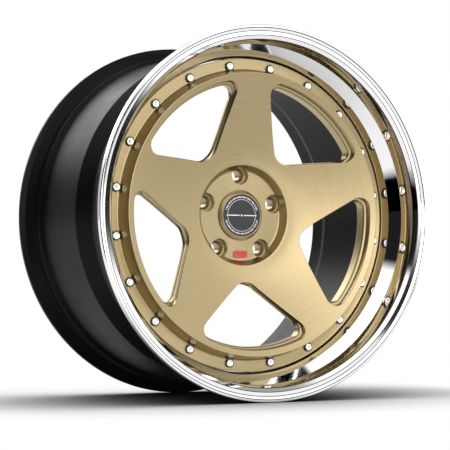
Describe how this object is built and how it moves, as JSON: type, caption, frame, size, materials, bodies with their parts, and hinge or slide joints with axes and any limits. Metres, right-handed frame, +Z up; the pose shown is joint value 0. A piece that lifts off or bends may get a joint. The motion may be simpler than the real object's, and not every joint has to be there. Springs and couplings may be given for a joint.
{
  "type": "forged racing wheel rim",
  "caption": "Three-piece five-spoke racing wheel: gold bolted centre disc, deep polished outer lip, black inner barrel and a removable centre cap.",
  "frame": {"origin": "middle of the wheel, on its axle line, half way between the outer faces of the two tyre flanges", "axes": "+Y along the axle from the visible front towards the car, +Z up, +X to the right seen from the front"},
  "size_m": [0.543, 0.296, 0.543],
  "materials": {
    "brushed_gold": "satin",
    "polished_aluminium": "polished",
    "satin_black": "satin",
    "chrome_bolt": "polished",
    "bare_steel": "satin",
    "black_rubber": "matte",
    "carbon": "gloss",
    "red_enamel": "gloss",
    "brass_pin": "satin"
  },
  "bodies": {
    "wheel": {"centre_disc": "brushed_gold", "outer_lip": "polished_aluminium", "inner_barrel": "satin_black", "sealant_bead": "black_rubber", "rim_bolt_01": "chrome_bolt", "rim_bolt_02": "chrome_bolt", "rim_bolt_03": "chrome_bolt", "rim_bolt_04": "chrome_bolt", "rim_bolt_05": "chrome_bolt", "rim_bolt_06": "chrome_bolt", "rim_bolt_07": "chrome_bolt", "rim_bolt_08": "chrome_bolt", "rim_bolt_09": "chrome_bolt", "rim_bolt_10": "chrome_bolt", "rim_bolt_11": "chrome_bolt", "rim_bolt_12": "chrome_bolt", "rim_bolt_13": "chrome_bolt", "rim_bolt_14": "chrome_bolt", "rim_bolt_15": "chrome_bolt", "rim_bolt_16": "chrome_bolt", "rim_bolt_17": "chrome_bolt", "rim_bolt_18": "chrome_bolt", "rim_bolt_19": "chrome_bolt", "rim_bolt_20": "chrome_bolt", "rim_nut_01": "bare_steel", "rim_nut_02": "bare_steel", "rim_nut_03": "bare_steel", "rim_nut_04": "bare_steel", "rim_nut_05": "bare_steel", "rim_nut_06": "bare_steel", "rim_nut_07": "bare_steel", "rim_nut_08": "bare_steel", "rim_nut_09": "bare_steel", "rim_nut_10": "bare_steel", "rim_nut_11": "bare_steel", "rim_nut_12": "bare_steel", "rim_nut_13": "bare_steel", "rim_nut_14": "bare_steel", "rim_nut_15": "bare_steel", "rim_nut_16": "bare_steel", "rim_nut_17": "bare_steel", "rim_nut_18": "bare_steel", "rim_nut_19": "bare_steel", "rim_nut_20": "bare_steel", "lug_seat_1": "bare_steel", "lug_seat_2": "bare_steel", "lug_seat_3": "bare_steel", "lug_seat_4": "bare_steel", "lug_seat_5": "bare_steel", "badge": "red_enamel", "valve_stem": "bare_steel", "valve_grommet": "black_rubber", "valve_nut": "bare_steel"},
    "centre_cap": {"cap_body": "brushed_gold", "cap_inlay": "carbon", "cap_spring_ring": "bare_steel"},
    "valve_core": {"valve_pin": "brass_pin"},
    "dust_cap": {"valve_cap": "black_rubber"}
  },
  "joints": [
    {"name": "centre_cap_pull", "type": "slide", "parent": "wheel", "child": "centre_cap", "axis": [0, -1, 0], "range_m": [0, 0.03]},
    {"name": "valve_pin_press", "type": "slide", "parent": "wheel", "child": "valve_core", "axis": [0, -0.3843, -0.9232], "range_m": [0, 0.0015], "stiffness_N_per_m": 1000, "springref_m": -0.002},
    {"name": "valve_cap_pull", "type": "slide", "parent": "wheel", "child": "dust_cap", "axis": [0, 0.3843, 0.9232], "range_m": [0, 0.012]}
  ]
}
